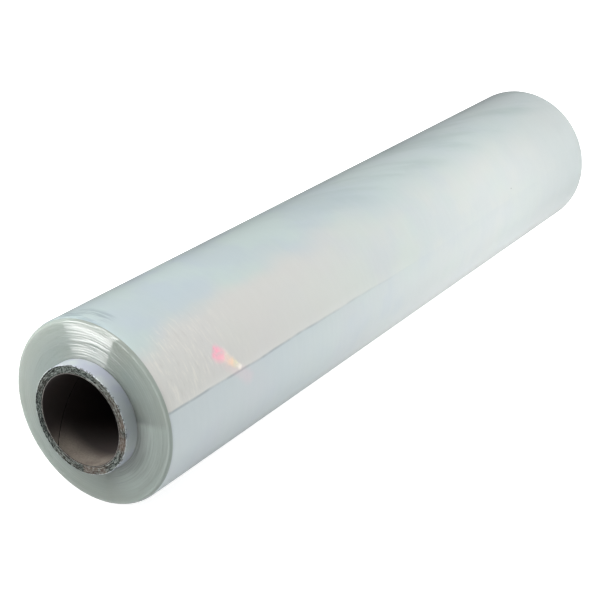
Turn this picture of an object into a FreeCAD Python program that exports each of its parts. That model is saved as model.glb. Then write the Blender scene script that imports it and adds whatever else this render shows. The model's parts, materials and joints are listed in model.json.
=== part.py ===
import FreeCAD, Part
import math
import os

# Roll of stretch wrap: clear film wound tightly on a spiral-wound paper core.
# It lies on its side, as it is put down, on the small flat that its weight presses into the film.
# Millimetres and degrees. +X runs along the roll and +Z is up.
# The origin is on the ground, under the middle of the roll.

# Film
film_width = 500.0        # along the core
film_od = 103.0           # over the outermost turn
winding_gap = 0.0         # between the core and the first turn, which is pulled tight on it
flat_width = 14.0         # of the flat that the roll lies on
tail_step = 0.2           # height of the free edge, where the last few turns cling together
tail_rise = 15.0          # of the free edge above the axis, on the -Y side
shoulder_length = 3.2     # of the soft rounded edge, along the roll
shoulder_drop = 2.3       # of the same edge, towards the axis
shoulder_turn = 60.0      # how far that edge turns before it meets the outermost turn in a crease
shoulder_facets = 3
ridge_count = 14          # bands of turns on each end, which lean in from crest to foot and step back out
ridge_relief = 0.3        # depth of the deepest foot under the crests
ridge_least = 0.55        # shallowest foot, as a share of the deepest
ridge_foot = 0.9          # where the foot lies between two crests, as a share of the way out
ridge_drift = 0.2         # unevenness of the crests, as a share of one band's width

# Core
core_bore = 50.0          # diameter of the hole
core_wall = 5.0
core_overhang = 8.5       # stands out of the film at each end
liner = 0.6               # smooth first and last plies of the wall
board_plies = 4           # rough plies between the liners
ply_relief = 0.3          # depth of the deepest groove between plies on the cut end
ply_least = 0.4           # shallowest of those grooves, as a share of the deepest
edge_break = 0.3          # bevel on the rims of the cut end

# Near and far end, as directions along X, and what makes them differ
near_side = -1
far_side = 1
ridge_phase = {near_side: 0.4, far_side: 1.9}
ply_phase = {near_side: 0.9, far_side: 2.6}
golden_angle = math.pi * (3 - math.sqrt(5))

# Sizes that follow
film_radius = film_od / 2
core_radius = core_bore / 2 + core_wall
core_length = film_width + 2 * core_overhang
film_bore_radius = core_radius + winding_gap
tail_angle = math.radians(tail_rise)
ground_radius = film_radius - tail_step / 2 * (1 - math.sin(tail_angle))
axis_height = math.sqrt(ground_radius ** 2 - (flat_width / 2) ** 2)
axis_point = FreeCAD.Vector(0, 0, axis_height)
axis_direction = FreeCAD.Vector(1, 0, 0)

# How far a cutting body goes past what it cuts
run_out = 2.0


def at(x, radius):
    """Point of a half section, at a distance from the axis."""
    return FreeCAD.Vector(x, 0, axis_height + radius)


def polyline(points):
    """Straight edges through a list of points."""
    return [Part.LineSegment(a, b).toShape() for a, b in zip(points, points[1:])]


def turned(near, far):
    """Body that turns about the axis, from the half sections of its near and far end."""
    outline = Part.Wire(polyline(near + far[::-1] + near[:1]))
    return Part.Face(outline).revolve(axis_point, axis_direction, 360)


def uneven(index, phase):
    """Number from 0 to 1 that changes with the index in no plain rhythm."""
    return 0.5 + 0.5 * math.sin(golden_angle * index + phase)


def film_end(side):
    """Half section of one end of the film, from its bore out to its shoulder."""
    phase = ridge_phase[side]
    pitch = (film_radius - shoulder_drop - film_bore_radius) / ridge_count
    crests = [film_bore_radius + pitch * i for i in range(ridge_count + 1)]
    for i in range(1, ridge_count):
        crests[i] += pitch * ridge_drift * (2 * uneven(i, 2 * phase) - 1)
    points = [at(side * film_width / 2, crests[0])]
    for i in range(ridge_count):
        depth = ridge_relief * (ridge_least + (1 - ridge_least) * uneven(i, phase))
        foot = crests[i] + (crests[i + 1] - crests[i]) * ridge_foot
        points.append(at(side * (film_width / 2 - depth), foot))
        points.append(at(side * film_width / 2, crests[i + 1]))
    return points


def shoulder(side):
    """Half section of one rounded edge of the film, carried on past the outermost turn."""
    turn = math.radians(shoulder_turn)
    points = []
    for i in range(1, shoulder_facets + 1):
        angle = turn * i / shoulder_facets
        back = shoulder_length * (1 - math.cos(angle)) / (1 - math.cos(turn))
        drop = shoulder_drop * (1 - math.sin(angle) / math.sin(turn))
        points.append(at(side * (film_width / 2 - back), film_radius - drop))
    lead = points[-1] - points[-2]
    points.append(points[-1] + lead * (run_out / lead.z))
    return points


def film_envelope():
    """Turned body with both ends and shoulders of the film, wider than its outermost turn."""
    near = film_end(near_side) + shoulder(near_side)
    far = film_end(far_side) + shoulder(far_side)
    return turned(near, far)


def film_winding():
    """Body of the outermost turn: a spiral of two half circles that ends in the free edge."""
    to_edge = FreeCAD.Vector(0, -math.cos(tail_angle), math.sin(tail_angle))
    over = FreeCAD.Vector(0, math.sin(tail_angle), math.cos(tail_angle))
    centre = FreeCAD.Vector(-film_width / 2 - run_out, 0, axis_height)
    lower_centre = centre - to_edge * (tail_step / 2)
    lower_radius = film_radius - tail_step / 2
    edge_top = centre + to_edge * film_radius
    edge_foot = centre + to_edge * (film_radius - tail_step)
    back = centre - to_edge * film_radius
    outline = Part.Wire([
        Part.Arc(edge_top, centre + over * film_radius, back).toShape(),
        Part.Arc(back, lower_centre - over * lower_radius, edge_foot).toShape(),
        Part.LineSegment(edge_foot, edge_top).toShape(),
    ])
    return Part.Face(outline).extrude(axis_direction * (film_width + 2 * run_out))


def above_ground():
    """Block over the ground that holds the whole roll."""
    side = film_od + 2 * run_out
    length = film_width + 2 * run_out
    return Part.makeBox(length, side, side, FreeCAD.Vector(-length / 2, -side / 2, 0))


def make_film_roll():
    """All the turns of film, as the one body that they cling together to."""
    return film_winding().common(film_envelope()).common(above_ground()).removeSplitter()


def cut_end(side):
    """Half section of one cut end of the core, from its bore out to its outer face."""
    phase = ply_phase[side]
    inner = core_bore / 2
    end = side * core_length / 2
    rim = end - side * edge_break
    ply = (core_wall - 2 * liner) / board_plies
    points = [at(rim, inner), at(end, inner + edge_break), at(end, inner + liner)]
    for i in range(board_plies):
        depth = ply_relief * (ply_least + (1 - ply_least) * uneven(i, phase))
        points.append(at(end - side * depth, inner + liner + ply * (i + 0.5)))
    points += [at(end, core_radius - liner), at(end, core_radius - edge_break), at(rim, core_radius)]
    return points


def make_core_tube():
    """Paper tube with its plies showing on both cut ends."""
    return turned(cut_end(near_side), cut_end(far_side))


os.makedirs("parts", exist_ok=True)
pieces = {
    "film_roll": make_film_roll(),
    "core_tube": make_core_tube(),
}
for name, shape in pieces.items():
    print(name, "valid:", shape.isValid(), "solids:", len(shape.Solids), "mm3:", round(shape.Volume))
    shape.exportStep("parts/" + name + ".step")
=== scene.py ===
"""Roll of stretch wrap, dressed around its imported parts.

Metres. +X runs along the roll from its near end to its far end, and +Z is up.
Angles around the roll are counted from straight up, positive towards -Y, the side that the camera sees.
"""

import json
import logging
import math
from collections.abc import Callable
from dataclasses import dataclass, field
from enum import Enum

import bmesh
import bpy
from mathutils import Matrix, Vector


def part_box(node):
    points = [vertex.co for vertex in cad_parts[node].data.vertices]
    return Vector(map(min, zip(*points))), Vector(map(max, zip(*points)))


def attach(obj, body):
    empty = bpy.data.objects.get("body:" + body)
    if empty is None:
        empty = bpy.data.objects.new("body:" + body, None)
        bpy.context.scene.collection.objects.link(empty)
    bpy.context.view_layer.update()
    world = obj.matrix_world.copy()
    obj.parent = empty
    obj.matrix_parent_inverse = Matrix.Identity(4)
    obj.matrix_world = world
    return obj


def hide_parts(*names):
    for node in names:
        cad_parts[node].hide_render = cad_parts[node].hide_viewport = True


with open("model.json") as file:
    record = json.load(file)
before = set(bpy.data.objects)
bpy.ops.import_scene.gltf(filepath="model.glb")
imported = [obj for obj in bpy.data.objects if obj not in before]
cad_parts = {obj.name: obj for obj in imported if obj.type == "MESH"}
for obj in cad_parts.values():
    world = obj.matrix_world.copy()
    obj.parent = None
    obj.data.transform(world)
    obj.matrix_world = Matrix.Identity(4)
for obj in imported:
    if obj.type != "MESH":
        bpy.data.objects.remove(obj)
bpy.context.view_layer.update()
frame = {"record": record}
LOG = logging.getLogger("stretch_wrap_roll")
MM = 0.001
GOLDEN_ANGLE = math.pi * (3 - math.sqrt(5))

# Points that are nearer than this are one point
CLOSE = 2e-7

# Waves of the free edge about its middle line: degrees, radians from end to end and radians at the near end
TAIL_WAVES = ((2.0, 4.4, -0.66), (0.35, 16.0, 0.0), (0.22, 45.0, 1.0), (0.1, 118.0, 2.0))

Color = tuple[float, float, float]
Triple = tuple[float, float, float]
Stops = tuple[tuple[float, Color], ...]
Socket = bpy.types.NodeSocket
Value = Socket | float


class End(Enum):
    """End of the roll, as its direction along X."""

    NEAR = -1
    FAR = 1


@dataclass(frozen=True)
class RollSizes:
    """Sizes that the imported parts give, in metres."""

    half_width: float
    radius: float
    axis_height: float
    core_radius: float
    bore_radius: float
    half_core: float

    @classmethod
    def from_frame(cls) -> "RollSizes":
        """Read the sizes from the boxes of the two parts and the mount of the bore.

        Returns:
            The sizes of the roll.
        """
        film_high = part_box("film_roll")[1]
        core_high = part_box("core_tube")[1]
        mounts = {mount["name"]: mount for mount in frame["record"]["mounts"]}
        bore = mounts["core_bore"]
        return cls(
            half_width=film_high.x,
            radius=film_high.y,
            axis_height=bore["pos_m"][2],
            core_radius=core_high.y,
            bore_radius=bore["dims"]["r_mm"] * MM,
            half_core=core_high.x,
        )


def uneven(index: float, phase: float) -> float:
    """Return a number from 0 to 1 that changes with the index in no plain rhythm."""
    return 0.5 + 0.5 * math.sin(GOLDEN_ANGLE * index + phase)


def srgb(red: int, green: int, blue: int) -> Color:
    """Turn a screen colour into the linear colour that a shader takes.

    Args:
        red: Red, 0 to 255.
        green: Green, 0 to 255.
        blue: Blue, 0 to 255.

    Returns:
        The linear colour.
    """
    def linear(level: int) -> float:
        """Return the linear strength of one screen level."""
        share = level / 255
        return share / 12.92 if share <= 0.04045 else ((share + 0.055) / 1.055) ** 2.4
    return linear(red), linear(green), linear(blue)


def deselect_all() -> None:
    """Leave no object selected."""
    bpy.ops.object.select_all(action="DESELECT")


def make_active(piece: bpy.types.Object) -> None:
    """Select one object and make it the active one."""
    deselect_all()
    piece.select_set(True)
    bpy.context.view_layer.objects.active = piece


def select_points(piece: bpy.types.Object, wanted: Callable[[Vector], bool]) -> None:
    """Select the points of a piece in edit mode by their place.

    Args:
        piece: The object in edit mode.
        wanted: Says of a point whether it is selected.
    """
    bpy.ops.mesh.select_mode(type="VERT")
    mesh = bmesh.from_edit_mesh(piece.data)
    for point in mesh.verts:
        point.select = wanted(point.co)
    mesh.select_flush_mode()
    bmesh.update_edit_mesh(piece.data)


def select_faces(piece: bpy.types.Object, wanted: Callable[[Vector], bool]) -> None:
    """Select the faces of a piece in edit mode by the place of their middle.

    Args:
        piece: The object in edit mode.
        wanted: Says of a face's middle whether the face is selected.
    """
    bpy.ops.mesh.select_mode(type="FACE")
    mesh = bmesh.from_edit_mesh(piece.data)
    for face in mesh.faces:
        face.select_set(wanted(face.calc_center_median()))
    mesh.select_flush_mode()
    bmesh.update_edit_mesh(piece.data)


class RingModel:
    """Body around the X axis that grows ring by ring.

    Each new ring is extruded from the last one, then sized and turned.
    """

    def __init__(self, name: str, x: float, outline: list[tuple[float, float]]) -> None:
        """Start from one point and extrude it along the first ring.

        Args:
            name: Name of the piece.
            x: Place of the first ring along the axis.
            outline: Angle and radius of each point of the ring.
        """
        deselect_all()
        bpy.ops.mesh.primitive_plane_add(size=MM)
        self.piece = bpy.context.active_object
        self.piece.name = name
        self.piece.data.name = name
        self.x = self.start_x = x
        self.radius = self.start_radius = outline[0][1]
        self.turned = 0.0
        points = [Vector((x, -r * math.sin(a), r * math.cos(a))) for a, r in outline]
        bpy.ops.object.mode_set(mode="EDIT")
        bpy.ops.mesh.select_mode(type="VERT")
        bpy.ops.mesh.select_all(action="SELECT")
        bpy.ops.mesh.merge(type="CENTER")
        bpy.ops.transform.translate(value=points[0])
        for here, there in zip(points, points[1:]):
            bpy.ops.mesh.extrude_vertices_move(TRANSFORM_OT_translate={"value": there - here})
        first, last = points[0], points[-1]
        select_points(self.piece, lambda p: min((p - first).length, (p - last).length) < CLOSE)
        bpy.ops.mesh.edge_face_add()
        bpy.ops.mesh.select_all(action="SELECT")

    def ring(self, x: float, radius: float, turn: float = 0.0) -> None:
        """Extrude the last ring to a new place.

        Args:
            x: Place of the new ring along the axis.
            radius: Its radius.
            turn: Its angle about the axis, against the first ring.
        """
        bpy.ops.mesh.extrude_region_move(TRANSFORM_OT_translate={"value": (x - self.x, 0, 0)})
        share = radius / self.radius
        if share != 1:
            bpy.ops.transform.resize(value=(1, share, share), center_override=(0, 0, 0))
        if turn != self.turned:
            bpy.ops.transform.rotate(
                value=self.turned - turn, orient_axis="X", center_override=(0, 0, 0)
            )
        self.x, self.radius, self.turned = x, radius, turn

    def round_off(self) -> None:
        """Bring the last ring to a true circle about the axis."""
        mesh = bmesh.from_edit_mesh(self.piece.data)
        ring = [point.co for point in mesh.verts if point.select]
        sides = [co.y for co in ring]
        heights = [co.z for co in ring]
        middle = Vector((0, (min(sides) + max(sides)) / 2, (min(heights) + max(heights)) / 2))
        bpy.ops.transform.tosphere(value=1)
        bpy.ops.transform.translate(value=-middle)
        mesh = bmesh.from_edit_mesh(self.piece.data)
        spread = next(math.hypot(point.co.y, point.co.z) for point in mesh.verts if point.select)
        share = self.radius / spread
        bpy.ops.transform.resize(value=(1, share, share), center_override=(0, 0, 0))

    def back_to_start(self) -> None:
        """Take up the first ring again, to grow the body the other way."""
        def on_first_ring(point: Vector) -> bool:
            """Say whether a point is on the first ring."""
            off = math.hypot(point.y, point.z) - self.start_radius
            return abs(point.x - self.start_x) < CLOSE and abs(off) < MM
        select_points(self.piece, on_first_ring)
        self.x, self.radius, self.turned = self.start_x, self.start_radius, 0.0

    def close(self) -> None:
        """Join the two open rings, so that the body is closed all round."""
        bpy.ops.mesh.select_all(action="SELECT")
        bpy.ops.mesh.remove_doubles(threshold=CLOSE)
        bpy.ops.mesh.select_all(action="DESELECT")
        bpy.ops.mesh.select_non_manifold(
            extend=False, use_wire=False, use_multi_face=False, use_non_contiguous=False, use_verts=False
        )
        bpy.ops.mesh.bridge_edge_loops()
        bpy.ops.mesh.select_all(action="SELECT")
        bpy.ops.mesh.normals_make_consistent(inside=False)

    def lift(self, height: float) -> None:
        """Raise the whole body to the height of its axis."""
        bpy.ops.mesh.select_all(action="SELECT")
        bpy.ops.transform.translate(value=(0, 0, height))

    def finish(self, smooth_angle: float) -> bpy.types.Object:
        """Leave edit mode and smooth the faces that meet at less than an angle.

        Args:
            smooth_angle: The angle, in radians.

        Returns:
            The finished object.
        """
        bpy.ops.object.mode_set(mode="OBJECT")
        make_active(self.piece)
        bpy.ops.object.shade_smooth_by_angle(angle=smooth_angle, keep_sharp_edges=True)
        return self.piece


class Recipe:
    """Node tree of one finish, with short words for the nodes that it uses."""

    def __init__(self, name: str) -> None:
        """Start a material that holds one principled shader."""
        self.material = bpy.data.materials.new(name)
        self.material.use_nodes = True
        self.tree = self.material.node_tree
        self.shader = self.tree.nodes["Principled BSDF"]
        place = self.tree.nodes.new("ShaderNodeTexCoord")
        self.place = place.outputs["Object"]

    def node(self, kind: str, **settings: object) -> bpy.types.Node:
        """Add a node and set its plain properties."""
        made = self.tree.nodes.new("ShaderNode" + kind)
        for name, value in settings.items():
            setattr(made, name, value)
        return made

    def feed(self, socket: Socket, value: object) -> None:
        """Link a socket to another one, or set its value."""
        if isinstance(value, bpy.types.NodeSocket):
            self.tree.links.new(value, socket)
        elif isinstance(value, tuple) and socket.type == "RGBA":
            socket.default_value = (*value, 1.0)
        else:
            socket.default_value = value

    def set(self, **inputs: object) -> None:
        """Feed the shader's inputs, named in small letters with low lines for spaces."""
        for name, value in inputs.items():
            self.feed(self.shader.inputs[name.replace("_", " ").title().replace("Ior", "IOR")], value)

    def calc(self, operation: str, *values: Value) -> Socket:
        """Add a math node.

        Args:
            operation: The node's operation.
            values: What goes into it.

        Returns:
            The result.
        """
        made = self.node("Math", operation=operation)
        for socket, value in zip(made.inputs, values):
            self.feed(socket, value)
        return made.outputs[0]

    def span(self, value: Value, low: float, high: float, to_low: float = 0, to_high: float = 1) -> Socket:
        """Map a range softly to another one, held at its ends.

        Args:
            value: What is mapped.
            low: Where the range starts.
            high: Where it ends.
            to_low: Result at the start.
            to_high: Result at the end.

        Returns:
            The result.
        """
        made = self.node("MapRange", interpolation_type="SMOOTHSTEP")
        for socket, item in zip(made.inputs, (value, low, high, to_low, to_high)):
            self.feed(socket, item)
        return made.outputs[0]

    def noise(self, vector: Socket, scale: float, detail: float = 2, rough: float = 0.5) -> Socket:
        """Add a noise texture and return its strength.

        Args:
            vector: Where the noise is read.
            scale: How fine it is.
            detail: How many finer layers it has.
            rough: How strong they are.

        Returns:
            The noise, 0 to 1.
        """
        made = self.node("TexNoise")
        for name, value in (("Vector", vector), ("Scale", scale), ("Detail", detail), ("Roughness", rough)):
            self.feed(made.inputs[name], value)
        return made.outputs["Fac"]

    def product(self, *values: Value) -> Socket:
        """Multiply numbers.

        Args:
            values: The numbers.

        Returns:
            Their product.
        """
        result = values[0]
        for value in values[1:]:
            result = self.calc("MULTIPLY", result, value)
        return result

    def total(self, value: Value, more: Value) -> Socket:
        """Add two numbers."""
        return self.calc("ADD", value, more)

    def minus(self, value: Value, less: Value) -> Socket:
        """Take one number from another."""
        return self.calc("SUBTRACT", value, less)

    def unsigned(self, value: Value) -> Socket:
        """Return a number without its sign."""
        return self.calc("ABSOLUTE", value)

    def window(self, value: Value, low: float, high: float, soft: float) -> Socket:
        """Return 1 inside a range and 0 outside it, with soft ends.

        Args:
            value: The number that is tested.
            low: Where the range starts.
            high: Where it ends.
            soft: Width of the soft ends, which lie outside the range.

        Returns:
            The strength, 0 to 1.
        """
        return self.product(
            self.span(value, low - soft, low), self.span(value, high, high + soft, 1.0, 0.0)
        )

    def stripes(self, along: Socket, side: Socket, height: Socket, scale: float, run: float) -> Socket:
        """Add noise that changes fast along the roll and slowly around it.

        Args:
            along: Place along the axis.
            side: Place to the side.
            height: Height above the axis.
            scale: How fine the stripes are.
            run: How fast they change around the roll, as a share of that.

        Returns:
            The noise, 0 to 1.
        """
        place = self.vector(along, self.product(side, run), self.product(height, run))
        return self.noise(place, scale, 4, 0.6)

    def pick(self, test: Socket, low: Value, high: Value) -> Socket:
        """Return one of two numbers.

        Args:
            test: 0 for the first number and 1 for the second.
            low: The first number.
            high: The second number.

        Returns:
            The number.
        """
        made = self.node("Mix", data_type="FLOAT")
        self.feed(made.inputs[0], test)
        self.feed(made.inputs[2], low)
        self.feed(made.inputs[3], high)
        return made.outputs[0]

    def blend(self, share: Value, low: Socket | Color, high: Socket | Color) -> Socket:
        """Mix two colours.

        Args:
            share: How much of the second one.
            low: The first colour.
            high: The second colour.

        Returns:
            The mixed colour.
        """
        made = self.node("Mix", data_type="RGBA")
        self.feed(made.inputs[0], share)
        self.feed(made.inputs[6], low)
        self.feed(made.inputs[7], high)
        return made.outputs[2]

    def ramp(self, value: Value, stops: Stops) -> Socket:
        """Map a number to a colour through stops.

        Args:
            value: The number.
            stops: Place and colour of each stop.

        Returns:
            The colour.
        """
        made = self.node("ValToRGB")
        band = made.color_ramp
        while len(band.elements) < len(stops):
            band.elements.new(1.0)
        for element, (place, color) in zip(band.elements, stops):
            element.position = place
            element.color = (*color, 1.0)
        self.feed(made.inputs[0], value)
        return made.outputs[0]

    def vector(self, x: Value, y: Value, z: Value) -> Socket:
        """Join three numbers to a vector."""
        made = self.node("CombineXYZ")
        for socket, value in zip(made.inputs, (x, y, z)):
            self.feed(socket, value)
        return made.outputs[0]

    def around(self, axis_height: float) -> tuple[Socket, Socket, Socket, Socket, Socket]:
        """Read the place along and around the roll.

        Args:
            axis_height: Height of the roll's axis.

        Returns:
            Place along the axis, side, height above the axis, distance from it and angle from straight up.
        """
        parts = self.node("SeparateXYZ")
        self.feed(parts.inputs[0], self.place)
        along, side, height = parts.outputs
        height = self.minus(height, axis_height)
        square = self.total(self.product(side, side), self.product(height, height))
        angle = self.calc("ARCTAN2", self.product(side, -1.0), height)
        return along, side, height, self.calc("SQRT", square), angle

    def bump(self, height: Socket, depth: float, under: Socket | None = None) -> Socket:
        """Turn a height into a shading normal.

        Args:
            height: The height, 0 to 1.
            depth: What 1 is in metres.
            under: Normal that this bump lies on.

        Returns:
            The normal.
        """
        made = self.node("Bump")
        self.feed(made.inputs["Height"], height)
        self.feed(made.inputs["Distance"], depth)
        if under is not None:
            self.feed(made.inputs["Normal"], under)
        return made.outputs[0]


@dataclass(frozen=True)
class Pucker:
    """Small crumpled spot in the outermost turn, beside the free edge."""

    start: float = 44 * MM
    rise: float = 58.5
    length: float = 19 * MM
    heading: float = math.radians(44)
    head: float = 6 * MM
    tip: float = 2.4 * MM
    jag: float = 3 * MM
    halo_side: float = 2 * MM
    halo_width: float = 6 * MM
    # Painted reflection: the thin-film colours of the pucker.
    colors: Stops = (
        (0.00, srgb(255, 160, 188)),
        (0.28, srgb(250, 184, 196)),
        (0.42, srgb(232, 214, 200)),
        (0.62, srgb(246, 218, 182)),
        (0.80, srgb(236, 238, 190)),
        (1.00, srgb(252, 252, 238)),
    )


@dataclass(frozen=True)
class FilmTints:
    """Colours of the wound film and of what shows on it."""

    # Painted light and reflection: the front and far tints are lighter, and the top tint is bluer.
    top: Color = srgb(177, 191, 194)
    front: Color = srgb(189, 197, 195)
    far_top: Color = srgb(184, 197, 198)
    far_front: Color = srgb(196, 200, 197)
    # Painted shade behind the top of the roll, on the side away from the camera.
    painted_back_shade: Color = srgb(140, 152, 156)
    blue_cloud: Color = srgb(177, 190, 200)
    green_cloud: Color = srgb(186, 204, 194)
    # Painted reflection colours above and below the free edge.
    above_edge: Color = srgb(199, 197, 193)
    below_edge: Color = srgb(177, 185, 192)
    # Painted shade over the far end.
    painted_far_shade: Color = srgb(172, 180, 180)
    veil: Color = srgb(152, 170, 168)
    # Painted light on the lower side, as if bounced from the floor.
    painted_floor_light: Color = srgb(226, 230, 230)
    light_streak: Color = srgb(224, 221, 210)
    dark_streak: Color = srgb(172, 170, 164)
    lap: Color = srgb(112, 128, 142)
    stripe: Color = srgb(235, 240, 240)
    # Painted shade along the step of the free edge.
    free_edge: Color = srgb(138, 148, 154)
    light_speck: Color = srgb(238, 242, 242)
    dark_speck: Color = srgb(70, 74, 78)
    # Painted reflection: the faint halo beside the pucker.
    halo: Color = srgb(236, 184, 192)


class FilmPlace:
    """Where a point of the wound film lies, as sockets of one recipe.

    Past is counted in metres from the near crease, and degrees from straight up. Around is degrees with a
    slow drift, for borders that wander. Tail is the angle of the free edge beside the point, in degrees.
    """

    def __init__(self, r: Recipe, film: "WoundFilm") -> None:
        """Add the nodes that find the place.

        Args:
            r: The recipe that they belong to.
            film: The finish that the recipe makes.
        """
        self.along, self.side, self.height, _, angle = r.around(film.axis_height)
        self.degrees = r.product(angle, 180 / math.pi)
        self.past = r.minus(self.along, film.crease)
        drift = r.minus(r.noise(r.place, 14, 2), 0.5)
        self.around = r.total(self.degrees, r.product(drift, film.border_drift))
        self.tail = film.tail_angle(r, self.along)


@dataclass(frozen=True)
class WoundFilm:
    """Many clear turns seen from outside: milky, glossy and softly tinted."""

    axis_height: float
    half_width: float
    radius: float
    crease: float
    tail_rise: float
    roughness: float = 0.34
    milk: float = 0.35
    milk_reach: float = 12 * MM
    border_drift: float = 40
    stripe_depth: float = 0.015 * MM
    crinkle_depth: float = 0.5 * MM
    tints: FilmTints = field(default_factory=FilmTints)
    pucker: Pucker = field(default_factory=Pucker)

    def make(self) -> bpy.types.Material:
        """Return the material."""
        r = Recipe("wound_film")
        at = FilmPlace(r, self)
        clouds = r.noise(r.vector(at.along, at.side, at.height), 31, 3)
        stripes = r.stripes(at.along, at.side, at.height, 420, 0.1)
        tint = self.base(r, at)
        tint = self.clouded(r, at, tint, clouds)
        tint = self.beside_edge(r, at, tint)
        tint = self.far_and_low(r, at, tint)
        tint = self.rubbed(r, at, tint)
        tint = self.lapped(r, at, tint, stripes)
        # Painted shade: a dark line along the step of the free edge.
        tint = r.blend(self.edge_line(r, at), tint, self.tints.free_edge)
        tint = self.specks(r, tint)
        tint, crumple = self.colored_pucker(r, at, tint)
        r.set(
            base_color=tint,
            roughness=r.span(clouds, 0.2, 0.8, self.roughness, self.roughness + 0.12),
            subsurface_weight=self.milk,
            subsurface_radius=(1.0, 1.0, 1.0),
            subsurface_scale=self.milk_reach,
            coat_weight=0.5,
            coat_roughness=0.15,
            ior=1.5,
        )
        crinkle = r.product(r.noise(r.place, 900, 3), crumple)
        r.set(normal=r.bump(crinkle, self.crinkle_depth, r.bump(stripes, self.stripe_depth)))
        return r.material

    def tail_angle(self, r: Recipe, along: Socket) -> Socket:
        """Return the angle of the free edge, in degrees, at a place along the roll."""
        share = r.total(r.calc("DIVIDE", along, 2 * self.half_width), 0.5)
        angle = 90 - self.tail_rise
        for size, speed, start in TAIL_WAVES:
            wave = r.calc("SINE", r.total(r.product(share, speed), start))
            angle = r.total(r.product(wave, size), angle)
        return angle

    def base(self, r: Recipe, at: FilmPlace) -> Socket:
        """Return the film's tint from top to front: painted light far off and in front, painted shade
        behind the top.

        Args:
            r: The recipe that the tint belongs to.
            at: The place on the film.

        Returns:
            The tint.
        """
        # Painted light and reflection: lighter on the front and towards the far end, bluer on the top.
        front = r.span(at.around, 8, 44)
        near = r.blend(front, self.tints.top, self.tints.front)
        far = r.blend(front, self.tints.far_top, self.tints.far_front)
        tint = r.blend(r.span(at.past, 0.15, 0.42), near, far)
        # Painted shade: darker behind the top, on the side away from the camera.
        behind = r.product(r.span(at.degrees, -34, -10, 0.8, 0.0), r.span(at.degrees, -110, -60, 0.2, 1.0))
        return r.blend(behind, tint, self.tints.painted_back_shade)

    def clouded(self, r: Recipe, at: FilmPlace, tint: Socket, clouds: Socket) -> Socket:
        """Lay faint blue and green clouds over a tint.

        Args:
            r: The recipe that the clouds belong to.
            at: The place on the film.
            tint: The tint without clouds.
            clouds: The noise of the blue ones.

        Returns:
            The tint with clouds.
        """
        green = r.noise(r.vector(at.side, at.height, at.along), 27, 3)
        hazy = r.span(at.past, 0.12, 0.34, 0.4, 0.18)
        tint = r.blend(r.product(hazy, r.span(clouds, 0.42, 0.62)), tint, self.tints.blue_cloud)
        return r.blend(r.product(hazy, r.span(green, 0.42, 0.62)), tint, self.tints.green_cloud)

    def beside_edge(self, r: Recipe, at: FilmPlace, tint: Socket) -> Socket:
        """Warm the tint above the free edge and cool it below, strongest at the near end, as painted
        reflection.

        Args:
            r: The recipe that the tint belongs to.
            at: The place on the film.
            tint: The tint without the difference.

        Returns:
            The tint with it.
        """
        # Painted reflection: warm above the free edge, cool below it.
        above = r.product(r.window(at.around, 40, 200, 16), r.span(r.minus(at.tail, at.degrees), -1.0, 0.4))
        warm = r.product(above, r.span(at.past, 0.08, 0.28, 1.0, 0.0))
        tint = r.blend(r.product(warm, 0.8), tint, self.tints.above_edge)
        below = r.span(r.minus(at.degrees, at.tail), -0.4, 1.0)
        cool = r.product(below, r.span(at.past, 0.04, 0.3, 1.0, 0.25))
        return r.blend(r.product(cool, 0.6), tint, self.tints.below_edge)

    def far_and_low(self, r: Recipe, at: FilmPlace, tint: Socket) -> Socket:
        """Darken the far end as painted shade, lay slanting veils over the top and lighten the lower side
        as painted light.

        Args:
            r: The recipe that the tint belongs to.
            at: The place on the film.
            tint: The tint without the three.

        Returns:
            The tint with them.
        """
        # Painted shade: the far end is darkened, most on the front.
        dim = r.product(r.span(at.past, 0.34, 0.5, 0.0, 0.85), r.span(at.degrees, 0, 50, 0.35, 1.0))
        tint = r.blend(dim, tint, self.tints.painted_far_shade)
        slant = r.total(at.side, r.product(at.along, 0.5))
        veils = r.noise(r.vector(slant, r.product(at.along, 0.15), at.height), 62, 3)
        on_top = r.product(r.window(at.degrees, -30, 10, 26), r.span(at.past, 0.1, 0.3), 0.5)
        tint = r.blend(r.product(r.span(veils, 0.42, 0.66), on_top), tint, self.tints.veil)
        # Painted light: from 98 to 132 degrees the film is lightened, more away from the near crease, as if
        # lit from the floor.
        low = r.product(r.span(at.degrees, 98, 132), r.span(at.past, 0.06, 0.3), 0.75)
        return r.blend(low, tint, self.tints.painted_floor_light)

    def rubbed(self, r: Recipe, at: FilmPlace, tint: Socket) -> Socket:
        """Lay the short streaks of rubbed film beside the near crease over a tint.

        Args:
            r: The recipe that the streaks belong to.
            at: The place on the film.
            tint: The tint without streaks.

        Returns:
            The tint with streaks.
        """
        strokes = r.stripes(at.along, at.side, at.height, 700, 0.2)
        mark_zone = r.product(r.span(at.past, -0.004, 0.006), r.span(at.past, 0.02, 0.085, 1.0, 0.0))
        mark_zone = r.product(mark_zone, r.window(at.around, 36, 64, 14))
        tint = r.blend(r.product(mark_zone, r.span(strokes, 0.5, 0.66), 0.34), tint, self.tints.light_streak)
        return r.blend(r.product(mark_zone, r.span(strokes, 0.44, 0.3), 0.25), tint, self.tints.dark_streak)

    def lapped(self, r: Recipe, at: FilmPlace, tint: Socket, stripes: Socket) -> Socket:
        """Lay the dark laps over the near crease and the faint stripes of all turns over a tint.

        Args:
            r: The recipe that the laps belong to.
            at: The place on the film.
            tint: The tint without laps.
            stripes: The noise of the turns.

        Returns:
            The tint with laps.
        """
        laps = r.product(r.window(at.past, -0.01, 0.007, 0.007), r.window(at.around, -60, 0, 12))
        tint = r.blend(r.product(laps, r.span(stripes, 0.56, 0.42), 0.5), tint, self.tints.lap)
        return r.blend(r.span(stripes, 0.3, 0.75, 0.0, 0.03), tint, self.tints.stripe)

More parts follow.
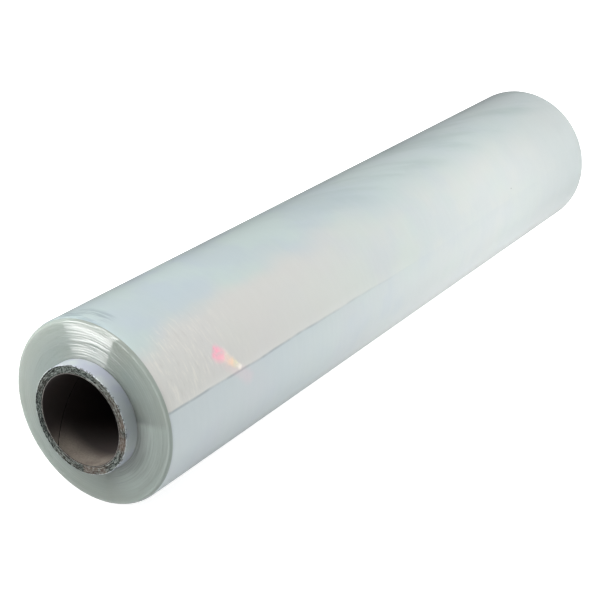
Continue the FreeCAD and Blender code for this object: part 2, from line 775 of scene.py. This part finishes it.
    def edge_line(self, r: Recipe, at: FilmPlace) -> Socket:
        """Return how strongly the free edge shows at a place on the film, as a dark line of painted shade
        at its step.

        Args:
            r: The recipe that the line belongs to.
            at: The place on the film.

        Returns:
            The strength, 0 to 1.
        """
        off = r.unsigned(r.minus(at.degrees, r.total(at.tail, 0.25)))
        line = r.span(off, 0.1, 1.3, 1.0, 0.0)
        broken = r.span(r.noise(r.vector(at.along, 0.0, 0.0), 60, 3), 0.35, 0.6, 0.35, 1.0)
        return r.product(line, broken, r.span(at.along, -0.2, 0.02, 0.75, 0.0))

    def specks(self, r: Recipe, tint: Socket) -> Socket:
        """Scatter a few light and dark specks over a tint.

        Args:
            r: The recipe that the specks belong to.
            tint: The tint without specks.

        Returns:
            The tint with specks.
        """
        cells = r.node("TexVoronoi")
        r.feed(cells.inputs["Vector"], r.place)
        r.feed(cells.inputs["Scale"], 46.0)
        parts = r.node("SeparateColor")
        r.feed(parts.inputs[0], cells.outputs["Color"])
        lot = parts.outputs[0]
        spot = r.span(cells.outputs["Distance"], 0.012, 0.03, 1.0, 0.0)
        light = r.product(spot, r.span(lot, 0.62, 0.7), 0.6)
        dark = r.product(spot, r.span(lot, 0.1, 0.06), 0.8)
        return r.blend(dark, r.blend(light, tint, self.tints.light_speck), self.tints.dark_speck)

    def colored_pucker(self, r: Recipe, at: FilmPlace, tint: Socket) -> tuple[Socket, Socket]:
        """Lay the thin-film colours of the pucker over a tint, as a painted reflection.

        Args:
            r: The recipe that the pucker belongs to.
            at: The place on the film.
            tint: The tint around it.

        Returns:
            The tint with the pucker, and how strongly the film is crumpled.
        """
        spot = self.pucker
        run = r.minus(at.past, spot.start)
        arc = r.product(r.minus(at.degrees, spot.rise), math.radians(self.radius))
        cosine, sine = math.cos(spot.heading), math.sin(spot.heading)
        ahead = r.total(r.product(run, cosine), r.product(arc, sine))
        across = r.minus(r.product(arc, cosine), r.product(run, sine))
        share = r.calc("DIVIDE", ahead, spot.length)
        jag = r.minus(r.noise(r.place, 260, 3), 0.5)
        across = r.total(across, r.product(jag, spot.jag))
        width = r.span(share, 0.0, 1.0, spot.head, spot.tip)
        inside = r.span(r.calc("DIVIDE", r.unsigned(across), width), 0.2, 1.0, 1.0, 0.0)
        inside = r.product(inside, r.window(share, -0.05, 0.98, 0.12))
        # Painted reflection: thin-film colours and a faint halo, lighter than the film around them.
        color = r.ramp(r.total(share, r.product(jag, 0.35)), spot.colors)
        shine = r.span(r.noise(r.place, 330, 3), 0.3, 0.6, 0.5, 1.0)
        tint = r.blend(r.product(inside, shine, 0.8), tint, color)
        off = r.unsigned(r.minus(across, spot.halo_side))
        halo = r.product(r.span(off, 1 * MM, spot.halo_width, 1.0, 0.0), r.window(share, 0.1, 1.5, 0.3))
        return r.blend(r.product(halo, 0.16), tint, self.tints.halo), inside


@dataclass(frozen=True)
class FilmEdges:
    """The edges of all the turns, seen as fine rings on the ends of the roll."""

    axis_height: float
    inner: float
    outer: float
    rim: float
    lean: float = math.radians(21)
    roughness: float = 0.2
    milk: float = 0.8
    milk_reach: float = 8 * MM
    ring_depth: float = 0.022 * MM
    patch: Color = srgb(138, 142, 134)
    plain: Stops = (
        (0.0, srgb(128, 138, 134)),
        (0.3, srgb(130, 140, 136)),
        (0.94, srgb(145, 154, 148)),
        (1.0, srgb(158, 167, 161)),
    )
    # Painted reflection, lightest next to the core as painted light against the collar's shade.
    painted_light: Stops = (
        (0.0, srgb(180, 188, 184)),
        (0.35, srgb(158, 168, 163)),
        (1.0, srgb(154, 164, 159)),
    )

    def make(self) -> bpy.types.Material:
        """Return the material."""
        r = Recipe("film_edges")
        _, side, height, distance, angle = r.around(self.axis_height)
        rings = r.vector(distance, r.product(side, 0.02), r.product(height, 0.02))
        fine = r.noise(rings, 2500, 0, 0.5)
        bold = r.noise(rings, 800, 1, 0.5)
        lines = r.total(r.product(fine, 0.7), r.product(bold, 0.3))
        r.set(
            base_color=self.tint(r, distance, angle, lines),
            roughness=self.roughness,
            subsurface_weight=self.milk,
            subsurface_radius=(1.0, 1.0, 1.0),
            subsurface_scale=self.milk_reach,
            specular_ior_level=0.1,
            coat_weight=self.gloss(r, distance, angle, lines),
            coat_roughness=0.05,
            coat_ior=1.8,
        )
        reach = r.calc("MINIMUM", distance, self.outer)
        lean = r.bump(r.product(reach, -math.tan(self.lean)), 1.0)
        r.set(normal=lean, coat_normal=r.bump(bold, self.ring_depth, lean))
        return r.material

    def gloss(self, r: Recipe, distance: Socket, angle: Socket, lines: Socket) -> Socket:
        """Return how glossy the rings are: most on one side of the top, where they are cut clean.

        Args:
            r: The recipe that the gloss belongs to.
            distance: Distance from the axis.
            angle: Angle from straight up.
            lines: The noise of the rings.

        Returns:
            The weight of the coat.
        """
        dull = r.span(distance, self.inner, self.outer, 0.05, 0.35)
        shine = r.product(r.span(lines, 0.45, 0.53), r.minus(1.0, dull))
        clean = r.product(
            r.span(angle, math.radians(-30), math.radians(6)),
            r.span(angle, math.radians(28), math.radians(36), 1.0, 0.0),
        )
        return r.product(r.total(dull, shine), r.span(clean, 0, 1, 0.18, 1.0))

    def tint(self, r: Recipe, distance: Socket, angle: Socket, lines: Socket) -> Socket:
        """Return the tint of the rings, with a lighter band on the lower front that is a painted
        reflection.

        Args:
            r: The recipe that the tint belongs to.
            distance: Distance from the axis.
            angle: Angle from straight up.
            lines: The noise of the rings.

        Returns:
            The tint.
        """
        reach = r.span(distance, self.inner, self.rim)
        patches = r.span(r.noise(r.place, 35, 2), 0.35, 0.65, 0.0, 0.35)
        plain = r.blend(patches, r.ramp(reach, self.plain), self.patch)
        # Painted reflection: a lighter band from about 80 to 170 degrees, lightest next to the core as
        # painted light.
        band = r.product(
            r.span(angle, math.radians(80), math.radians(86)),
            r.span(angle, math.radians(140), math.radians(170), 1.0, 0.0),
            r.span(lines, 0.4, 0.56, 0.55, 1.0),
        )
        return r.blend(band, plain, r.ramp(reach, self.painted_light))


@dataclass(frozen=True)
class CorePaper:
    """White outer ply of the core, frayed where it is cut, with painted shade on the side towards the
    camera.
    """

    axis_height: float
    half_length: float
    fray: float = 0.9 * MM
    fibre_depth: float = 0.03 * MM
    cool: Color = srgb(190, 195, 208)
    plain: Color = srgb(204, 212, 210)
    # Painted shade on the side towards the camera.
    painted_shade: Color = srgb(140, 149, 162)
    torn: Color = srgb(58, 64, 62)

    def make(self) -> bpy.types.Material:
        """Return the material."""
        r = Recipe("core_paper")
        along, _, _, _, angle = r.around(self.axis_height)
        fibres = r.noise(r.place, 1400, 4, 0.6)
        blotch = r.noise(r.place, 60, 2)
        color = r.blend(r.span(blotch, 0.35, 0.65), self.cool, self.plain)
        # Painted shade: darker and bluer on the side towards the camera, about 55 to 85 degrees from the
        # top.
        side_shade_mask = r.product(r.window(angle, 0.95, 1.5, 0.5), 0.4)
        color = r.blend(side_shade_mask, color, self.painted_shade)
        short = r.minus(self.half_length, r.unsigned(along))
        ragged = r.minus(r.noise(r.place, 520, 4, 0.7), 0.5)
        edge = r.minus(short, r.product(ragged, 6 * self.fray))
        color = r.blend(r.span(edge, 0.0, 0.35 * self.fray, 0.85, 0.0), color, self.torn)
        r.set(base_color=color, roughness=0.45, coat_weight=0.3, coat_roughness=0.25)
        r.set(normal=r.bump(fibres, self.fibre_depth))
        return r.material


@dataclass(frozen=True)
class CutBoard:
    """Cut end of the core: a smooth liner, torn grey board and the edge of the white outer ply."""

    axis_height: float
    inner: float
    outer: float
    liner: float
    plies: int
    ragged: float = 1.2 * MM
    border: float = 0.3 * MM
    tear_depth: float = 0.3 * MM
    fibre_depth: float = 0.25 * MM
    board_dark: Color = srgb(20, 27, 25)
    board_light: Color = srgb(128, 136, 131)
    board_warm: Color = srgb(124, 106, 96)
    tear_dark: Color = srgb(26, 30, 29)
    tear_light: Color = srgb(176, 180, 176)
    gap: Color = srgb(14, 17, 16)
    ply_dark: Color = srgb(76, 73, 70)
    ply_light: Color = srgb(128, 124, 119)
    ply_shade: Color = srgb(34, 33, 32)
    outer_ply: Color = srgb(176, 182, 184)
    rim: Color = srgb(176, 172, 168)

    def make(self) -> bpy.types.Material:
        """Return the material."""
        r = Recipe("cut_board")
        _, side, height, distance, angle = r.around(self.axis_height)
        ragged = r.minus(r.noise(r.place, 420, 3, 0.6), 0.5)
        reach = r.total(distance, r.product(ragged, self.ragged))
        fibres = r.stripes(distance, side, height, 1900, 0.35)
        tears = r.stripes(distance, side, height, 1300, 0.08)
        first = self.inner + self.liner
        last = self.outer - 0.7 * self.liner
        turns = r.calc("DIVIDE", r.minus(reach, first), last - first)
        board = self.board(r, fibres, tears, angle)
        board = r.blend(self.splits(r, turns, angle), board, self.gap)
        color = r.blend(r.span(reach, first, first + self.border), self.smooth_ply(r, fibres, angle), board)
        color = r.blend(r.span(reach, last, last + 0.2 * MM), color, self.outer_ply)
        rim = self.inner + self.border
        color = r.blend(r.span(distance, rim, rim + 0.2 * MM, 0.6, 0.0), color, self.rim)
        r.set(base_color=color, roughness=0.9, specular_ior_level=0.1)
        r.set(normal=r.bump(tears, self.tear_depth, r.bump(fibres, self.fibre_depth)))
        return r.material

    def board(self, r: Recipe, fibres: Socket, tears: Socket, angle: Socket) -> Socket:
        """Return the colour of the torn board.

        Args:
            r: The recipe that the board belongs to.
            fibres: The noise of its fibres.
            tears: The noise of its tears.
            angle: Angle from straight up.

        Returns:
            The colour.
        """
        board = r.blend(r.span(fibres, 0.4, 0.62), self.board_dark, self.board_light)
        board = r.blend(r.span(tears, 0.5, 0.38, 0.0, 0.85), board, self.tear_dark)
        board = r.blend(r.span(tears, 0.58, 0.7, 0.0, 0.5), board, self.tear_light)
        warm = r.product(r.span(r.noise(r.place, 60, 2), 0.4, 0.65), r.span(angle, 0.3, 1.6, 0.1, 0.5))
        return r.blend(warm, board, self.board_warm)

    def splits(self, r: Recipe, turns: Socket, angle: Socket) -> Socket:
        """Return how dark the gaps between the plies are, most where the board has opened.

        Args:
            r: The recipe that the gaps belong to.
            turns: How far out the place is, from 0 to 1.
            angle: Angle from straight up.

        Returns:
            The strength, 0 to 1.
        """
        middle = r.unsigned(r.minus(r.calc("FRACT", r.product(turns, self.plies)), 0.5))
        opened = r.product(r.span(angle, -2.6, -1.8), r.span(angle, -1.0, -0.2, 1.0, 0.0))
        return r.product(r.span(middle, 0.08, 0.2, 1.0, 0.0), r.total(0.2, r.product(opened, 0.7)))

    def smooth_ply(self, r: Recipe, fibres: Socket, angle: Socket) -> Socket:
        """Return the colour of the smooth inner ply, dark at the top.

        Args:
            r: The recipe that the ply belongs to.
            fibres: The noise of its fibres.
            angle: Angle from straight up.

        Returns:
            The colour.
        """
        smooth = r.blend(r.span(fibres, 0.35, 0.7), self.ply_dark, self.ply_light)
        upper = r.span(r.unsigned(r.minus(angle, 0.3)), 0.9, 1.5, 0.75, 0.0)
        return r.blend(upper, smooth, self.ply_shade)


@dataclass(frozen=True)
class BoreLiner:
    """Inner ply of the core, dark as painted shade and lit at its mouth's lower side as painted light, and
    its spiral seam.
    """

    axis_height: float
    radius: float
    half_length: float
    mouth: float = 17.5 * MM
    fibre_depth: float = 0.03 * MM
    # The liner's dark grey-brown is darkened further as painted shade of the bore; the lighter colour is
    # painted light.
    dark: Color = srgb(60, 55, 54)
    painted_light: Color = srgb(138, 130, 120)
    fibre: Color = srgb(60, 52, 46)
    blotch: Color = srgb(66, 54, 52)
    seam: Color = srgb(10, 9, 9)

    def make(self) -> bpy.types.Material:
        """Return the material."""
        r = Recipe("bore_liner")
        along, _, _, distance, angle = r.around(self.axis_height)
        fibres = r.noise(r.place, 1100, 4, 0.6)
        blotches = r.noise(r.place, 90, 3)
        depth = r.minus(self.half_length, r.unsigned(along))
        # Painted light: lighter at the lower side of the mouth, within about 17.5 mm of the rim, where
        # light falls in.
        lower = r.span(r.unsigned(r.minus(angle, 0.1)), 2.05, 2.75)
        mark_zone = r.product(lower, r.span(depth, 0.2 * self.mouth, self.mouth, 1.0, 0.0))
        color = r.blend(mark_zone, self.dark, self.painted_light)
        color = r.blend(r.span(fibres, 0.3, 0.7, 0.25, 0.0), color, self.fibre)
        color = r.blend(r.span(blotches, 0.45, 0.75, 0.0, 0.4), color, self.blotch)
        seam = r.span(distance, self.radius + 0.01 * MM, self.radius + 0.12 * MM)
        color = r.blend(seam, color, self.seam)
        r.set(base_color=color, roughness=0.85, specular_ior_level=0.15)
        r.set(normal=r.bump(fibres, self.fibre_depth))
        return r.material


@dataclass
class FilmRoll:
    """All the turns of film, with their ridges, shoulders, free edge and flat."""

    sizes: RollSizes
    segments: int = 256
    shoulder_length: float = 3.2 * MM
    shoulder_drop: float = 2.3 * MM
    shoulder_turn: float = math.radians(60)
    shoulder_rings: int = 6
    tail_step: float = 0.2 * MM
    tail_rise: float = math.radians(15)
    ridge_count: int = 14
    ridge_relief: float = 0.06 * MM
    ridge_least: float = 0.55
    ridge_foot: float = 0.9
    ridge_bulge: float = 0.08
    ridge_drift: float = 0.2
    body_step: float = 6 * MM
    smooth_angle: float = math.radians(35)
    phases: dict[End, float] = field(default_factory=lambda: {End.NEAR: 0.4, End.FAR: 1.9})

    def outline(self) -> list[tuple[float, float]]:
        """Return angle and radius of each point of the outermost turn, from its free edge over the top."""
        start = math.pi / 2 - self.tail_rise
        turn = 2 * math.pi / self.segments
        return [
            (start - turn * i, self.sizes.radius - self.tail_step * i / self.segments)
            for i in range(self.segments + 1)
        ]

    def ridges(self, end: End) -> list[tuple[float, float]]:
        """Return radius and depth along the ridges of one end, from the bore out."""
        inner = self.sizes.core_radius
        outer = self.sizes.radius - self.shoulder_drop
        pitch = (outer - inner) / self.ridge_count
        phase = self.phases[end]
        crests = [inner + pitch * i for i in range(self.ridge_count + 1)]
        for i in range(1, self.ridge_count):
            crests[i] += pitch * self.ridge_drift * (2 * uneven(i, 2 * phase) - 1)
        points = []
        for i, (low, high) in enumerate(zip(crests, crests[1:])):
            depth = self.ridge_relief * (self.ridge_least + (1 - self.ridge_least) * uneven(i, phase))
            width = high - low
            points.append((low, 0.0))
            points.append((low + width * self.ridge_foot / 2, depth * (0.5 - self.ridge_bulge)))
            points.append((low + width * self.ridge_foot, depth))
        return points

    def shoulder(self, end: End) -> list[tuple[float, float]]:
        """Return place and radius of each ring from the crease in to the end face."""
        points = []
        for i in range(self.shoulder_rings, -1, -1):
            angle = self.shoulder_turn * i / self.shoulder_rings
            back = self.shoulder_length * (1 - math.cos(angle)) / (1 - math.cos(self.shoulder_turn))
            drop = self.shoulder_drop * (1 - math.sin(angle) / math.sin(self.shoulder_turn))
            points.append((end.value * (self.sizes.half_width - back), self.sizes.radius - drop))
        return points

    def tail_turn(self, x: float) -> float:
        """Return how far the free edge lies below its middle line at a place along the roll."""
        share = (x + self.sizes.half_width) / (2 * self.sizes.half_width)
        waves = (size * math.sin(speed * share + start) for size, speed, start in TAIL_WAVES)
        return math.radians(sum(waves))

    def grow_end(self, model: RingModel, end: End) -> None:
        """Grow the shoulder and the ridges of one end from the crease down to the bore."""
        for i, (x, radius) in enumerate(self.shoulder(end)[1:]):
            model.ring(x, radius, model.turned)
            if i == 0:
                model.round_off()
        for radius, depth in reversed(self.ridges(end)):
            model.ring(end.value * (self.sizes.half_width - depth), radius, model.turned)

    def build(self) -> bpy.types.Object:
        """Model the film and return it."""
        start = self.shoulder(End.NEAR)[0][0]
        steps = round(-2 * start / self.body_step)
        model = RingModel("stretch_film", start, self.outline())
        first_turn = self.tail_turn(start)
        self.grow_end(model, End.NEAR)
        model.back_to_start()
        for i in range(1, steps + 1):
            x = start * (1 - 2 * i / steps)
            model.ring(x, self.sizes.radius, self.tail_turn(x) - first_turn)
        self.grow_end(model, End.FAR)
        model.close()
        bpy.ops.transform.rotate(value=-first_turn, orient_axis="X", center_override=(0, 0, 0))
        model.lift(self.sizes.axis_height)
        select_points(model.piece, lambda p: p.z < 0)
        bpy.ops.transform.resize(value=(1, 1, 0), center_override=(0, 0, 0))
        self.dress(model.piece)
        return model.finish(self.smooth_angle)

    def body_finish(self) -> WoundFilm:
        """Return the finish of the outermost turn."""
        return WoundFilm(
            axis_height=self.sizes.axis_height,
            half_width=self.sizes.half_width,
            radius=self.sizes.radius,
            crease=self.shoulder(End.NEAR)[0][0],
            tail_rise=math.degrees(self.tail_rise),
        )

    def dress(self, piece: bpy.types.Object) -> None:
        """Give the body and the ends their finishes, while the piece is in edit mode."""
        sizes = self.sizes
        piece.data.materials.append(self.body_finish().make())
        face_edge = sizes.radius - self.shoulder_drop
        edges = FilmEdges(sizes.axis_height, sizes.core_radius, face_edge, sizes.radius)
        piece.data.materials.append(edges.make())
        limit = sizes.half_width - 0.5 * self.shoulder_length
        select_faces(piece, lambda p: abs(p.x) > limit)
        piece.active_material_index = 1
        bpy.ops.object.material_slot_assign()


@dataclass
class CoreTube:
    """Paper tube that the film is wound on."""

    sizes: RollSizes
    segments: int = 240
    liner: float = 0.6 * MM
    edge_break: float = 0.3 * MM
    board_plies: int = 4
    ply_relief: float = 0.3 * MM
    ply_least: float = 0.4
    ply_groove: tuple[tuple[float, float], ...] = ((0.2, 0.3), (0.5, 1.0), (0.8, 0.6))
    bore_step: float = 4 * MM
    seam_pitch: float = 158 * MM
    seam_start: float = math.radians(-139.6)
    seam_width: float = math.radians(1.1)
    seam_depth: float = 0.3 * MM
    smooth_angle: float = math.radians(40)
    phases: dict[End, float] = field(default_factory=lambda: {End.NEAR: 0.9, End.FAR: 2.6})

    def outline(self) -> list[tuple[float, float]]:
        """Return angle and radius of each point of the bore, with the notch of its seam."""
        radius = self.sizes.bore_radius
        step = (2 * math.pi - 2 * self.seam_width) / self.segments
        points = [(self.seam_start, radius + self.seam_depth)]
        points += [(self.seam_start + self.seam_width + step * i, radius) for i in range(self.segments + 1)]
        return points

    def cut_profile(self, end: End) -> list[tuple[float, float]]:
        """Return place and radius of each ring of one cut end, from the bore out."""
        inner = self.sizes.bore_radius
        outer = self.sizes.core_radius
        face = self.sizes.half_core
        ply = (outer - inner - 2 * self.liner) / self.board_plies
        points = [(face, inner + self.edge_break), (face, inner + self.liner)]
        for i in range(self.board_plies):
            depth = self.ply_relief * (self.ply_least + (1 - self.ply_least) * uneven(i, self.phases[end]))
            low = inner + self.liner + ply * i
            for out, deep in self.ply_groove:
                points.append((face - deep * depth, low + out * ply))
        points.append((face, outer - self.liner))
        points.append((face, outer - self.edge_break))
        points.append((face - self.edge_break, outer))
        return [(end.value * x, radius) for x, radius in points]

    def grow_end(self, model: RingModel, end: End) -> None:
        """Grow one cut end from the rim of the bore out to the outer ply."""
        for i, (x, radius) in enumerate(self.cut_profile(end)):
            model.ring(x, radius, model.turned)
            if i == 0:
                model.round_off()

    def build(self) -> bpy.types.Object:
        """Model the core and return it."""
        start = self.edge_break - self.sizes.half_core
        steps = round(-2 * start / self.bore_step)
        model = RingModel("paper_core", start, self.outline())
        model.radius = model.start_radius = self.sizes.bore_radius
        self.grow_end(model, End.NEAR)
        model.back_to_start()
        for i in range(1, steps + 1):
            x = start * (1 - 2 * i / steps)
            model.ring(x, self.sizes.bore_radius, 2 * math.pi * (x - start) / self.seam_pitch)
        self.grow_end(model, End.FAR)
        model.close()
        model.lift(self.sizes.axis_height)
        self.dress(model.piece)
        return model.finish(self.smooth_angle)

    def dress(self, piece: bpy.types.Object) -> None:
        """Give the outer ply, the cut ends and the bore their finishes, in edit mode."""
        sizes = self.sizes
        height = sizes.axis_height
        finishes = (
            CorePaper(height, sizes.half_core),
            CutBoard(height, sizes.bore_radius, sizes.core_radius, self.liner, self.board_plies),
            BoreLiner(height, sizes.bore_radius, sizes.half_core),
        )
        for finish in finishes:
            piece.data.materials.append(finish.make())

        def distance(point: Vector) -> float:
            """Return how far a point is from the axis."""
            return math.hypot(point.y, point.z - height)

        cut_start = sizes.half_core - MM
        cut_edge = sizes.core_radius - 0.6 * self.edge_break
        select_faces(piece, lambda p: abs(p.x) > cut_start and distance(p) < cut_edge)
        piece.active_material_index = 1
        bpy.ops.object.material_slot_assign()
        select_faces(piece, lambda p: distance(p) < sizes.bore_radius + self.seam_depth)
        piece.active_material_index = 2
        bpy.ops.object.material_slot_assign()


@dataclass(frozen=True)
class FloorTone:
    """Grey that changes softly across the floor, between two places along a direction."""

    towards: Triple
    start: float
    end: float
    low: float
    high: float

    def make(self, r: Recipe) -> Socket:
        """Add the nodes of the grey.

        Args:
            r: The floor's recipe.

        Returns:
            The grey.
        """
        ahead = r.node("VectorMath", operation="DOT_PRODUCT")
        r.feed(ahead.inputs[0], r.place)
        r.feed(ahead.inputs[1], self.towards)
        return r.span(ahead.outputs["Value"], self.start, self.end, self.low, self.high)


@dataclass(frozen=True)
class SoftLamp:
    """Soft rectangular lamp, its sizes in metres and its power in watts."""

    name: str
    width: float
    length: float
    power: float

    def hang(self, place: Vector, out: Vector, side: Vector) -> bpy.types.Object:
        """Hang the lamp.

        Args:
            place: Where its middle hangs.
            out: Direction that its back faces.
            side: Direction of its width.

        Returns:
            The lamp.
        """
        light = bpy.data.lights.new(self.name, "AREA")
        light.shape = "RECTANGLE"
        light.size = self.width
        light.size_y = self.length
        light.energy = self.power
        lamp = bpy.data.objects.new(self.name, light)
        axes = Matrix((side.normalized(), out.cross(side).normalized(), out.normalized())).transposed()
        lamp.matrix_world = Matrix.Translation(place) @ axes.to_4x4()
        bpy.context.scene.collection.objects.link(lamp)
        return lamp

    def aim(self, place: Vector, target: Vector) -> bpy.types.Object:
        """Hang the lamp level, so that it faces a point.

        Args:
            place: Where its middle hangs.
            target: The point.

        Returns:
            The lamp.
        """
        out = (place - target).normalized()
        return self.hang(place, out, Vector((0, 0, 1)).cross(out))


@dataclass
class Studio:
    """Camera, lamps, white floor and sky."""

    sizes: RollSizes
    camera_place: Triple = (-0.7294, -0.4427, 0.3975)
    camera_ahead: Triple = (0.7638, 0.5041, -0.4032)
    lens: float = 86.64
    sensor: float = 36.0
    floor_size: float = 16.0
    floor_lit: FloorTone = FloorTone((1.0, 0.0, 0.0), -0.5, 0.3, 0.35, 0.9)
    floor_mirrored: FloorTone = FloorTone((0.76, 0.65, 0.0), -0.2, 0.2, 0.8, 0.2)
    floor_glow: FloorTone = FloorTone((1.0, -0.3, 0.0), -0.4, 0.4, 0.06, 0.3)
    mirrored_glow: FloorTone = FloorTone((1.0, 0.9, 0.0), -0.46, -0.42, 0.04, 0.4)
    mirrored_foot: FloorTone = FloorTone((1.0, -0.5, 0.0), -0.31, -0.25, 1.0, 0.15)
    seen_glow: float = 0.8
    sky_towards: Triple = (0.45, -0.1, 0.85)
    sky_start: float = 0.1
    sky_end: float = 0.9
    sky_dark: float = 0.1
    sky_light: float = 0.8
    left: SoftLamp = SoftLamp("left_softbox", 0.78, 1.1, 21)
    left_out: Triple = (-0.247, 0.312, 0.917)
    left_side: Triple = (-0.592, -0.798, 0.112)
    left_reach: float = 0.7
    left_slide: float = 1.5
    top: SoftLamp = SoftLamp("top_softbox", 0.5, 0.5, 7)
    top_reach: float = 1.1
    top_towards: Triple = (-0.5, 0.25, 0.83)
    right: SoftLamp = SoftLamp("right_softbox", 0.7, 0.3, 6.5)
    right_place: Triple = (0.4, -0.8, 0.2)
    right_target: Triple = (0.1, 0, 0.05)

    def build(self) -> None:
        """Make everything around the roll."""
        self.make_camera()
        self.make_floor()
        self.make_sky()
        self.hang_lamps()
        bpy.context.scene.view_settings.view_transform = "Standard"

    def make_camera(self) -> None:
        """Put the camera where the photograph was taken from."""
        lens = bpy.data.cameras.new("camera")
        lens.lens = self.lens
        lens.sensor_width = self.sensor
        lens.clip_start = 0.01
        lens.clip_end = 100
        camera = bpy.data.objects.new("camera", lens)
        camera.location = self.camera_place
        camera.rotation_mode = "QUATERNION"
        camera.rotation_quaternion = Vector(self.camera_ahead).to_track_quat("-Z", "Y")
        bpy.context.scene.collection.objects.link(camera)
        bpy.context.scene.camera = camera

    def make_floor(self) -> None:
        """Lay a white floor that is seen white, apart from the roll's soft shadow."""
        deselect_all()
        bpy.ops.mesh.primitive_plane_add(size=self.floor_size)
        floor = bpy.context.active_object
        floor.name = "studio_floor"
        r = Recipe("studio_floor")
        path = r.node("LightPath")
        in_gloss = path.outputs["Is Glossy Ray"]
        lift = r.product(self.mirrored_glow.make(r), self.mirrored_foot.make(r))
        lift = r.pick(in_gloss, self.floor_glow.make(r), lift)
        r.set(
            base_color=r.pick(in_gloss, self.floor_lit.make(r), self.floor_mirrored.make(r)),
            roughness=1.0,
            specular_ior_level=0.0,
            emission_color=(1.0, 1.0, 1.0),
            emission_strength=r.pick(path.outputs["Is Camera Ray"], lift, self.seen_glow),
        )
        floor.data.materials.append(r.material)

    def make_sky(self) -> None:
        """Light the roll softly from beyond it, with a dark room on the camera's side.

        The camera itself sees a white backdrop.
        """
        world = bpy.data.worlds.new("studio_sky")
        world.use_nodes = True
        tree = world.node_tree
        back = tree.nodes["Background"]
        back.inputs["Color"].default_value = (1, 1, 1, 1)
        place = tree.nodes.new("ShaderNodeTexCoord")
        ahead = tree.nodes.new("ShaderNodeVectorMath")
        ahead.operation = "DOT_PRODUCT"
        tree.links.new(place.outputs["Generated"], ahead.inputs[0])
        ahead.inputs[1].default_value = self.sky_towards
        shade = tree.nodes.new("ShaderNodeMapRange")
        shade.interpolation_type = "SMOOTHSTEP"
        tree.links.new(ahead.outputs["Value"], shade.inputs[0])
        levels = (self.sky_start, self.sky_end, self.sky_dark, self.sky_light)
        for socket, value in zip(shade.inputs[1:5], levels):
            socket.default_value = value
        path = tree.nodes.new("ShaderNodeLightPath")
        strength = tree.nodes.new("ShaderNodeMix")
        tree.links.new(path.outputs["Is Camera Ray"], strength.inputs[0])
        tree.links.new(shade.outputs[0], strength.inputs[2])
        strength.inputs[3].default_value = 1.0
        tree.links.new(strength.outputs[0], back.inputs["Strength"])
        bpy.context.scene.world = world

    def hang_lamps(self) -> None:
        """Hang the lamp that the rings of the near end mirror, one over that end and one for the front."""
        near = Vector((-self.sizes.half_width, 0, 1.8 * self.sizes.axis_height))
        out = Vector(self.left_out)
        side = Vector(self.left_side)
        slide = self.left_slide * out.cross(side)
        self.left.hang(near + self.left_reach * (out - slide), out, side)
        self.top.aim(near + self.top_reach * Vector(self.top_towards), near)
        right = self.right.aim(Vector(self.right_place), Vector(self.right_target))
        right.visible_glossy = False


def place_piece(piece: bpy.types.Object, node: str) -> None:
    """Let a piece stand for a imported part.

    Args:
        piece: The piece.
        node: Name of the part that it replaces.
    """
    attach(piece, "root")
    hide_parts(node)
    LOG.info("%s stands for %s: %d faces", piece.name, node, len(piece.data.polygons))


def main() -> None:
    """Build the studio and the two pieces of the roll."""
    logging.basicConfig(level=logging.INFO, format="%(name)s: %(message)s")
    sizes = RollSizes.from_frame()
    Studio(sizes).build()
    place_piece(FilmRoll(sizes).build(), "film_roll")
    place_piece(CoreTube(sizes).build(), "core_tube")


if __name__ == "__main__":
    main()
